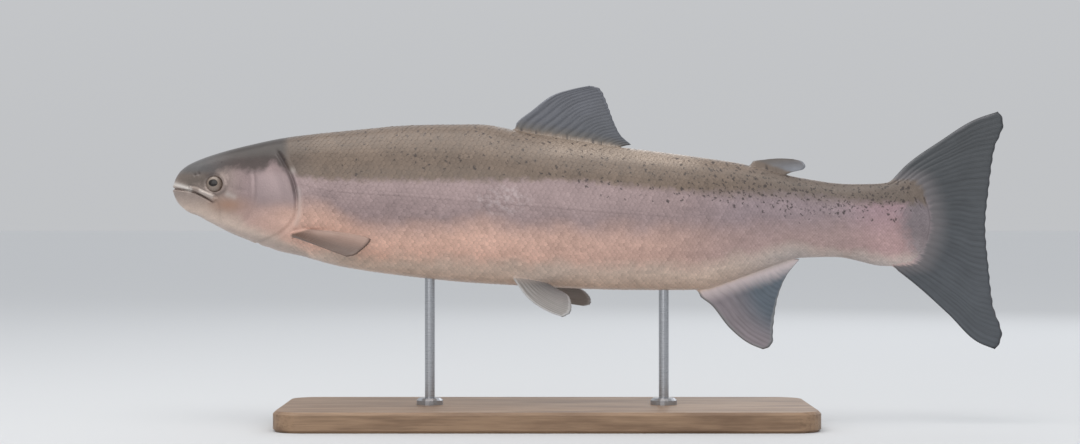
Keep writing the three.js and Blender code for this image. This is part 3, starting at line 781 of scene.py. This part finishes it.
bigSpots, smallSpots = (spotLayer(*kind) for kind in spotKinds.values())
spots = times(g, calc(g, "MAXIMUM", bigSpots, smallSpots), marksIn["Spot Strength"])
silver = attribute(g, "silver")
# the head's pale layer is partly painted highlight; its dark layer is painted shade
colour = layered(
    colour, (times(g, silver, 0.8), "silver"), (times(g, attribute(g, "warm"), 0.75), "warm"),
    (attribute(g, "paleAndPaintedHighlight"), "paleAndPaintedHighlight"), (attribute(g, "paintedCreaseShade"), "paintedCreaseShade"), (times(g, spots, 0.82), "spot"))
g.links.new(colour, marksOut["Color"])
shine = times(g, minus(g, 1.0, calc(g, "MAXIMUM", backMask, spots)), 0.38)
shine = calc(g, "MULTIPLY_ADD", silver, 0.2, times(g, shine, minus(g, 1.0, bellyMask)), clamp=True)
g.links.new(shine, marksOut["Shine"])
g.links.new(calc(g, "MULTIPLY_ADD", grain, 0.25, 0.26), marksOut["Roughness"])

# fin tissue: rays, membrane and their colours over the rays map
finInputs = {
    "Front Color": 1, "Rear Color": 1, "Foot Color": 1, "Edge Color": 1, "Foot Reach": 0.2,
    "Edge Width": 0.08, "Ray Contrast": 0.4, "Fringe": 0.5, "Sweep": 0.0, "Body Color": 1, "Rays": 12.0,
}
finTissue, given, finOut = newGroup(
    "finTissue", [(name, "Color", (1, 1, 1, 1)) if "Color" in name else (name, "Float", value)
                  for name, value in finInputs.items()],
    [("Color", "Color"), ("Height", "Float"), ("Roughness", "Float")])
g = finTissue
uv = addNode(g, "UVMap", {"uv_map": "rays"}).outputs[0]
xAt, vAt, _ = addNode(g, "SeparateXYZ", Vector=uv).outputs
wobble, cloud = noise(g, objectPlace(g), 120.0, 2, 0.5), noise(g, objectPlace(g), 70.0, 3, 0.6)
streakAt = addNode(g, "CombineXYZ", X=times(g, xAt, 2.6), Y=times(g, vAt, 2.2)).outputs[0]
streak = noise(g, streakAt, 1.0, 4, 0.6)
across = varied(g, wobble, 0.3, xAt)
whole = calc(g, "POWER", sineOf(g, times(g, across, math.pi)), 1.4)
half = calc(g, "POWER", sineOf(g, times(g, across, 2 * math.pi)), 1.4)
fine = sineOf(g, times(g, across, 6 * math.pi))
rayMask = addNode(g, "Mix", i0=ramp(g, vAt, 0.35, 0.62), i2=whole, i3=half).outputs[0]
rayMask = calc(g, "MULTIPLY_ADD", fine, times(g, ramp(g, vAt, 0.45, 0.95), 0.35), times(g, rayMask, 0.8))
joints = sineOf(g, calc(g, "MULTIPLY_ADD", wobble, 5.0, times(g, vAt, 120.0)))
share = calc(g, "DIVIDE", xAt, given["Rays"])
rearShare = times(g, share, calc(g, "MULTIPLY_ADD", vAt, given["Sweep"], 1.0))
colour = mixColour(g, ramp(g, rearShare, 0.12, 0.85), given["Front Color"], given["Rear Color"])
shade = varied(g, streak, 0.7, calc(g, "MULTIPLY_ADD", cloud, 0.4, 0.8))
colour = shaded(g, colour, varied(g, rayMask, given["Ray Contrast"], shade))
rise = attribute(g, "rise")
footMask = ramp(g, varied(g, streak, 0.5, rise), given["Foot Reach"], 0.1)
colour = mixColour(g, footMask, colour, given["Foot Color"])
rimAt = calc(g, "MINIMUM", minus(g, 1.0, vAt), times(g, share, 1.3))
rim = ramp(g, varied(g, cloud, 0.05, rimAt), given["Edge Width"], 0.0)
colour = mixColour(g, rim, colour, given["Edge Color"])
bodyShare = ramp(g, varied(g, streak, given["Fringe"], rise), 0.42, -0.05)
g.links.new(mixColour(g, bodyShare, colour, given["Body Color"]), finOut["Color"])
g.links.new(calc(g, "MULTIPLY_ADD", joints, 0.05, times(g, rayMask, 0.7)), finOut["Height"])
g.links.new(calc(g, "MULTIPLY_ADD", cloud, 0.2, 0.3), finOut["Roughness"])


def wetFinish(shader):
    shader.inputs["Specular IOR Level"].default_value = 0.4
    shader.inputs["Coat Weight"].default_value = 0.15
    shader.inputs["Coat Roughness"].default_value = 0.2


def addBump(tree, shader, height, strength, distance):
    bump = addNode(tree, "Bump", Height=height, Strength=strength, Distance=distance)
    connect(tree, shader, Normal=bump.outputs[0])


skinMaterial, tree, shader = newMaterial("troutSkin")
marks = useGroup(tree, markings)
connect(tree, shader, Base_Color=marks["Color"], Metallic=marks["Shine"], Roughness=marks["Roughness"])
pores = addNode(tree, "TexVoronoi", {"feature": "SMOOTH_F1"}, Vector=objectPlace(tree), Scale=900.0,
                Smoothness=0.6)
wrinkles = noise(tree, objectPlace(tree), 260.0, 3, 0.6)
addBump(tree, shader, calc(tree, "MULTIPLY_ADD", pores.outputs["Distance"], 0.5, wrinkles), 0.35, 0.00025)
wetFinish(shader)

scaleMaterial, tree, shader = newMaterial("troutScales")
marks = useGroup(tree, markings)
tip, tint = attribute(tree, "tip"), attribute(tree, "tint")
# each plate's random tint, with painted shade towards its root, under the plate in front, and a painted
# highlight along its free tip
tintAndPaintedLight = calc(tree, "MULTIPLY_ADD", tint, 0.1, ramp(tree, tip, 0.4, 0.85, 0.86, 1.0))
tintAndPaintedLight = calc(tree, "ADD", tintAndPaintedLight, ramp(tree, tip, 0.86, 1.0, 0.0, 0.06))
connect(tree, shader, Base_Color=shaded(tree, marks["Color"], tintAndPaintedLight), Metallic=marks["Shine"],
        Roughness=calc(tree, "MULTIPLY_ADD", tint, 0.06, marks["Roughness"]))
wetFinish(shader)

finLooks = {  # front, rear, foot and edge; foot reach, edge width, ray contrast, fringe, sweep
    # the dorsal fin's darker rear colour is painted shade over its rear part
    "dorsalFin": ((90, 92, 99), (78, 81, 87), (94, 90, 86), (118, 120, 128), 1.0, 0.03, 0.2, 0.4, 0),
    "adiposeFin": ((104, 98, 94), (124, 126, 132), (110, 98, 88), (146, 148, 154), 0.6, 0.06, 0.08, 0.3, 0),
    # the anal fin's pale foot is partly its whitish sheath and partly painted highlight
    "analFin": ((130, 122, 127), (86, 96, 106), (214, 200, 200), (136, 138, 140), 1.3, 0.05, 0.2, 0.2, 1.1),
    "tailFin": ((69, 72, 75), (72, 76, 81), (106, 102, 104), (92, 92, 96), 1.6, 0.02, 0.22, 1.0, 0),
    # the pectoral fin's dark front colour is painted shade on its leading ray
    "pectoralFin": ((94, 76, 67), (158, 134, 123), (138, 118, 107), (108, 90, 81), 0.5, 0.06, 0.5, 0.3, 0),
    "pelvicFin": ((126, 122, 119), (116, 113, 113), (168, 158, 152), (186, 184, 183), 1, 0.06, 0.3, 0.3, 0),
}
finMaterials = {}
for name, looks in finLooks.items():
    material, tree, shader = newMaterial(name)
    marks = useGroup(tree, markings)
    values = [*(tone(*rgb) for rgb in looks[:4]), *looks[4:], marks["Color"], max(fins[name]["rays"], 1)]
    tissue = useGroup(tree, finTissue, **dict(zip(finInputs, values)))
    connect(tree, shader, Base_Color=tissue["Color"], Roughness=tissue["Roughness"])
    addBump(tree, shader, tissue["Height"], 0.4, 0.0003)
    wetFinish(shader)
    finMaterials[name] = material
finMaterials["pelvicFinSwept"] = finMaterials["pelvicFin"]

# the whole fish in one skin
print("modelling the skin")
skinMesh = skinSurface()
skinMesh.materials.append(skinMaterial)
co = coordsOf(skinMesh) / mm + [body["half"], 0, -body["axis"]]


def capShare(s, h):  # the dark crown, which fades out over the nape
    rear = 75 + 2 * np.clip((48 - h) / 18, 0, 1)
    return np.maximum(step((rear - s) / 9), 0.35 * step((92 - s) / 18))


onHead = co[:, 0] < body["headEnd"]
headS, headH = co[onHead, 0], co[onHead, 2]
headY = np.abs(co[onHead, 1] - sway(headS))


def stripe(marks, width, fade=0.12):
    d, _, share = nearLine(headS, headH, marks)
    return bell(d, width) * ends(share, fade)


lipStart = 0.7 + 0.3 * step((headS - 1) / 3)
# pale strips along the lips, upper jaw bone and cheek, partly their own pale colour and partly painted
# highlight; the pale streak behind the gill cover and the spot above it are painted highlights
paleAndPaintedHighlightMarks = [
    0.85 * stripe([(-3, 23.2), (0.8, 22.8), (6.8, 21.2), (13.2, 18.8)], 0.95, 0.08),
    0.4 * stripe([(16.4, 19.3), (20.5, 17.5), (26.4, 14.8)], 0.9),
    0.3 * stripe([(32, 17.6), (41.5, 14)], 1.2, 0.3),
    0.22 * stripe([(77.4, 22), (78.2, 12), (77.4, 2), (75, -4)], 1.0),
    0.3 * near(headS, headH, (74.2, 30.6), 1.4)]
# painted shade in the mouth's cleft, around the eye socket, in the gill cover's cleft, along the head's
# grooves and in the nostrils
paintedCreaseShadeMarks = [
    (0.26 + 0.3 * step((headS - 12) / 6)) * stripe(headLines["mouth"], 0.5, 0.08) * lipStart,
    0.4 * stripe([(24.6, 17.2), (29.4, 16.9), (33.0, 19.4), (33.8, 22.8)], 0.9),
    0.45 * stripe([(20.6, 27.0), (25.6, 29.1), (30.6, 28.2)], 0.8),
    (0.05 + 0.47 * step((headH - 11) / 9)) * stripe(headLines["gillEdge"], 0.8 + 0.8 * bell(headH - 25, 8)),
    0.08 * stripe(headLines["preopercle"], 0.7), 0.12 * stripe(headLines["jawHinge"], 0.6),
    *(0.5 * near(headS, headH, place, width) for place, width in zip(nostrils, (0.6, 0.7)))]
silver = step((headS - 45) / 10) * step((78 - headS) / 3) * step((headH - 6) / 9) * step((33 - headH) / 8)
warm = bell((headS - 35) / 10, 0.75) * bell((headH - 10.3) / 4, 0.8)
for name, values, around in (("paleAndPaintedHighlight", np.maximum.reduce(paleAndPaintedHighlightMarks), 0.6), ("silver", silver, 1),
                             ("paintedCreaseShade", np.maximum.reduce(paintedCreaseShadeMarks), 1), ("warm", warm, 1)):
    full = np.zeros(len(co))
    full[onHead] = values * np.maximum(step((headY - 1.5) / 2), around * step((4 - headS) / 2))
    setAttribute(skinMesh, name, np.clip(full, 0, 1))
cap = capShare(co[:, 0], co[:, 2])
cap[onHead] *= 1 - 0.5 * step((27 - headS) / 6) * step((32 - headH) / 5)
setAttribute(skinMesh, "cap", cap)
fish = linked("fishSkin", skinMesh)

print("joining the fins")
finPieces = [finBlade(name, side) for name, side in (
    ("dorsalFin", 1), ("adiposeFin", 1), ("analFin", 1), ("tailFin", 1), ("pectoralFin", -1),
    ("pectoralFin", 1), ("pelvicFin", -1), ("pelvicFinSwept", 1))]
for fin in finPieces:
    join = fish.modifiers.new("join", "BOOLEAN")
    join.operation, join.solver, join.object, join.material_mode = "UNION", "MANIFOLD", fin, "TRANSFER"
    fish.data = evaluated(fish)
    bpy.data.objects.remove(fin)

bm = bmesh.new()
bm.from_mesh(fish.data)
seam = {v for v in bm.verts if len({f.material_index for f in v.link_faces}) > 1}
for _ in range(2):
    seam |= {e.other_vert(v) for v in list(seam) for e in v.link_edges}
for _ in range(4):
    bmesh.ops.smooth_vert(bm, verts=list(seam), factor=0.5,
                          use_axis_x=True, use_axis_y=True, use_axis_z=True)
bmesh.ops.recalc_face_normals(bm, faces=bm.faces)
print("skin faces", len(bm.faces), "open edges", sum(not e.is_manifold for e in bm.edges))
skinWhole = meshFrom(bm, "fishSkinWhole")
for material in fish.data.materials:
    skinWhole.materials.append(material)
bpy.data.objects.remove(fish)
showPiece(skinWhole, "fish_skin", "skin", "head", "lower_jaw", "throat", "maxilla_left", "maxilla_right",
          "gill_cover_left", "gill_cover_right", "trunk_front", "trunk_middle", "trunk_rear", "tail_stock",
          "dorsal_fin", "adipose_fin", "anal_fin", "tail_fin", "pectoral_fin_left", "pectoral_fin_right",
          "pelvic_fin_left", "pelvic_fin_right")

# scales
print("laying the scales")
scales = {
    "rows": 46, "lateralRow": 19, "gapFront": 3.05, "gapRear": 1.75, "across": 1.42, "length": 2.0,
    "rootSunk": 0.03, "rearLift": 0.22, "crown": 0.12, "lateralLift": 0.07, "thickness": 0.13,
    "uneven": 0.035, "seed": 7, "patch": 0.003, "unwrap": 470,
    "backClear": [(203, 272), (345, 379)], "backBare": 1.6,  # the feet of the dorsal and adipose fins
    "bellyClear": (313, 376), "bellyBare": 1.8,  # the foot of the anal fin
    "bands": {"back": (0, 15), "flank": (15, 31), "belly": (31, 46)},
}


def scaleTemplate():
    bm = bmesh.new()
    bmesh.ops.create_grid(bm, x_segments=4, y_segments=3, size=0.5)
    for v in bm.verts:  # a square drawn in to a rounded plate
        x, y = v.co.x * 2, v.co.y * 2
        v.co = (x * math.sqrt(1 - y * y / 2) / 2, y * math.sqrt(1 - x * x / 2) / 2, 0)
    made = bmesh.ops.extrude_face_region(bm, geom=bm.faces[:])["geom"]
    under = [f for f in made if isinstance(f, bmesh.types.BMFace)]
    bmesh.ops.translate(bm, verts=[v for v in made if isinstance(v, bmesh.types.BMVert)], vec=(0, 0, -1))
    bmesh.ops.dissolve_faces(bm, faces=under)
    bmesh.ops.recalc_face_normals(bm, faces=bm.faces)
    for e in bm.edges:  # a crisp rim, so a plate doesn't look like a cushion
        e.smooth = e.calc_face_angle(0) < 1
    return meshFrom(bm, "scale")


def rowShare(s, row):
    lateral = np.interp(s, stationList, lateralShare)
    middle = scales["lateralRow"]
    below = lateral + (1 - lateral) * (row - middle) / (scales["rows"] - middle)
    return np.clip(np.where(row < middle, lateral * row / middle, below), 0, 1)


stations = [66.0]
while stations[-1] < 453.5:
    rearShare = step((stations[-1] - 200) / 220)
    stations.append(stations[-1] + scales["gapFront"] + (scales["gapRear"] - scales["gapFront"]) * rearShare)
stations = np.array(stations)
gillLine = smoothPath([(58, 50), *headLines["gillEdge"][1:]], 80)
random = np.random.default_rng(scales["seed"])


def between(s, span):
    return (s > span[0]) & (s < span[1])


def scaled(s, h, y, q):  # where scales grow: behind the gill cover and clear of the fins
    d, edgeSide, _ = nearLine(s, h, gillLine.tolist()[::8])
    keep = (edgeSide > 0) & (d > 4.1 - 2.2 * step((h - 42) / 4)) | (s > 82)
    keep &= ~((h < -12) & (s < 70)) & (s < 454.5)
    for span in scales["backClear"]:
        keep &= ~(between(s, span) & (q * halfGirth(s) < scales["backBare"]))
    keep &= ~(between(s, scales["bellyClear"]) & ((1 - q) * halfGirth(s) < scales["bellyBare"]))
    pectoral = np.hypot((s - 76) / 7, (h + 6.5) / 4) < 1
    pelvic = np.hypot((s - 211) / 8, (np.abs(y) - 7) / 4) < 1
    return keep & (~(pectoral | pelvic) | (q < 0.45))


def layScales(name, side, firstRow, lastRow):
    rows, steps = np.meshgrid(np.arange(firstRow, lastRow) + 0.5, np.arange(len(stations) - 1),
                              indexing="ij")
    row, at = rows.ravel(), steps.ravel()
    shift = np.where(np.floor(row) % 2 == 0, 0.0, 0.5)
    s = stations[at] * (1 - shift) + stations[at + 1] * shift
    q = rowShare(s, row)
    keep = scaled(s, *bodyPoint(s, q, side), q)
    gap = (stations[at + 1] - stations[at])[keep]
    s, row, q = s[keep], row[keep], q[keep]
    count = len(s)
    template = scaleTemplate()
    corners = coordsOf(template)
    piece = linked(name, template)
    many = piece.modifiers.new("many", "ARRAY")
    many.count, many.use_relative_offset, many.use_constant_offset = count, False, True
    many.constant_offset_displace = (2, 0, 0)
    mesh = evaluated(piece)
    bpy.data.objects.remove(piece)
    # each plate's own size and turn, then its points carried onto the body
    x, across, deep = (np.tile(corners[:, k], (count, 1)) for k in range(3))
    big = 1 + random.normal(0, scales["uneven"], count)
    turn = random.normal(0, scales["uneven"], count)[:, None]
    length, wide = (gap * scales["length"] * big)[:, None], (scales["across"] * big)[:, None]
    sv = np.clip(s[:, None] + (x + across * turn * 0.8) * length, 60, 455.25)
    qv = rowShare(sv, row[:, None] + across * wide - x * turn)
    free = x + 0.5
    rise = scales["rearLift"] + random.normal(0, scales["uneven"], count)
    lateral = scales["lateralLift"] * bell(row - scales["lateralRow"] - 0.5, 0.35)
    lift = (rise[:, None] * free ** 1.3 - scales["rootSunk"] - scales["crown"] * across ** 2
            + lateral[:, None] * bell(across, 0.22) + deep * scales["thickness"] * (0.75 + 0.25 * free))
    lift *= np.clip(halfGirth(s) / scales["rows"] / 2.2, 0.6, 1.1)[:, None]
    sv, qv = sv.ravel(), qv.ravel()
    hv, yv = bodyPoint(sv, qv, side, lift.ravel() - body["coatDepth"])
    setCoords(mesh, inFrame(sv, hv, yv))
    setAttribute(mesh, "lie", np.stack([sv, side * qv * halfGirth(sv), hv], axis=-1), "FLOAT_VECTOR")
    setAttribute(mesh, "cap", capShare(sv, hv))
    setAttribute(mesh, "tip", free.ravel())
    setAttribute(mesh, "tint", np.repeat(random.normal(0, 0.5, count).clip(-1, 1), len(corners)))
    # the bake map: a small patch for each scale, at its root's place on the skin laid flat
    root = np.stack([s / scales["unwrap"], 0.5 + side * q * halfGirth(s) / scales["unwrap"]], axis=-1)
    uv = (root[:, None, :] + np.stack([x, across], axis=-1) * scales["patch"]).reshape(-1, 2)
    mesh.uv_layers.new(name="OFBake").data.foreach_set("uv", packed(uv[cornersOf(mesh)]))
    if side > 0:
        mesh.flip_normals()
    mesh.materials.append(scaleMaterial)
    showPiece(mesh, name, "skin")
    print(name, count, "scales", sum(len(p.vertices) - 2 for p in mesh.polygons), "triangles")


for side, word in ((-1, "left"), (1, "right")):
    for band, (firstRow, lastRow) in scales["bands"].items():
        layScales(f"scales_{band}_{word}", side, firstRow, lastRow)

# eyes
print("setting the eyes")
eyeLook = {
    "reach": 5.25, "depth": 4.25, "pupil": (2.7, 2.1), "pupilShift": (-0.7, 0.6), "flatness": 2.7,
    "iris": (138, 125, 116), "irisEnds": (128, 114, 104), "fleck": (114, 100, 90), "outer": (124, 110, 101),
    "ring": (142, 128, 114), "black": (24, 18, 16),
}
paint = {name: tone(*eyeLook[name]) for name in ("iris", "irisEnds", "fleck", "outer", "ring", "black")}
eyeMaterial, tree, shader = newMaterial("troutEye")
gazeAt = attribute(tree, "gaze", "Vector")
across, upward, _ = addNode(tree, "SeparateXYZ", Vector=gazeAt).outputs
fleck, apart = noise(tree, gazeAt, 1.6, 4, 0.65), lengthOf(tree, gazeAt)
foreAft = calc(tree, "DIVIDE", calc(tree, "ABSOLUTE", across), calc(tree, "MAXIMUM", apart, 0.1))
irisColour = mixColour(tree, ramp(tree, foreAft, 0.55, 0.95), paint["iris"], paint["irisEnds"])
pupilX, pupilY = (calc(tree, "DIVIDE", minus(tree, way, shift), size) for way, shift, size in zip(
    (across, upward), eyeLook["pupilShift"], eyeLook["pupil"]))
pupilAt = lengthOf(tree, addNode(tree, "CombineXYZ", X=pupilX, Y=pupilY).outputs[0])
for share, name in ((ramp(tree, fleck, 0.35, 0.75, 0.0, 0.4), "fleck"),
                    (ramp(tree, varied(tree, fleck, 0.5, apart), 3.9, 4.9), "outer"),
                    (ramp(tree, pupilAt, 1.5, 1.1, 0.0, 0.35), "ring"),
                    (ramp(tree, pupilAt, 1.08, 0.94), "black")):
    irisColour = mixColour(tree, share, irisColour, paint[name])
connect(tree, shader, Base_Color=irisColour, Metallic=ramp(tree, pupilAt, 1.0, 1.2, 0.0, 0.1))
for socket, value in (("Specular IOR Level", 0.15), ("Roughness", 0.32), ("Coat Weight", 0.6),
                      ("Coat Roughness", 0.05)):
    shader.inputs[socket].default_value = value
for side, word in ((-1, "left"), (1, "right")):
    bm = bmesh.new()
    bmesh.ops.create_uvsphere(bm, u_segments=64, v_segments=48, radius=1)
    mesh = meshFrom(bm, f"eye_{word}")
    ball = coordsOf(mesh)
    radius, outward, reach = np.hypot(ball[:, 0], ball[:, 1]), ball[:, 2], eyeLook["reach"]
    gaze = np.stack([ball[:, 0] * reach, ball[:, 1] * reach, np.where(outward > 0, 0, 9)], axis=-1)
    # flatter in front than a ball
    outward = np.sign(outward) * np.sqrt(np.clip(1 - radius ** eyeLook["flatness"], 0, 1))
    s, h = eyePlace["s"] + ball[:, 0] * reach, eyePlace["h"] + ball[:, 1] * reach
    co = inFrame(s, h, side * (eyePlace["y"] + outward * eyeLook["depth"]))
    co[:, 1] += (sway(np.float64(eyePlace["s"])) - sway(s)) * mm
    setCoords(mesh, co)
    setAttribute(mesh, "gaze", gaze, "FLOAT_VECTOR")
    closeUp(mesh)
    mesh.materials.append(eyeMaterial)
    showPiece(mesh, f"eyeball_{word}", "eye", f"eye_{word}")

# stand
print("finishing the stand")
woodMaterial, tree, shader = newMaterial("oiledWood")
rings = noise(tree, objectPlace(tree, (1.0, 9.0, 9.0)), 14.0, 4, 0.6)
fibre = noise(tree, objectPlace(tree, (4.0, 90.0, 90.0)), 9.0, 3, 0.6)
wood = mixColour(tree, ramp(tree, rings, 0.35, 0.7), tone(150, 122, 96), tone(112, 86, 64))
wood = mixColour(tree, ramp(tree, fibre, 0.4, 0.75, 0.0, 0.4), wood, tone(92, 70, 52))
connect(tree, shader, Base_Color=wood, Roughness=calc(tree, "MULTIPLY_ADD", fibre, 0.25, 0.36))
addBump(tree, shader, fibre, 0.25, 0.0004)

steelMaterial, tree, shader = newMaterial("brushedSteel")
brush = noise(tree, objectPlace(tree, (6.0, 6.0, 120.0)), 30.0, 3, 0.6)
connect(tree, shader, Base_Color=mixColour(tree, brush, tone(150, 152, 156), tone(188, 190, 194)),
        Roughness=calc(tree, "MULTIPLY_ADD", brush, 0.2, 0.2))
shader.inputs["Metallic"].default_value = 1.0
for node, material in (("base", woodMaterial), ("rod_front", steelMaterial), ("rod_rear", steelMaterial),
                       ("collar_front", steelMaterial), ("collar_rear", steelMaterial)):
    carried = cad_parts[f"stand_{node}"].data.materials
    carried.clear()
    carried.append(material)
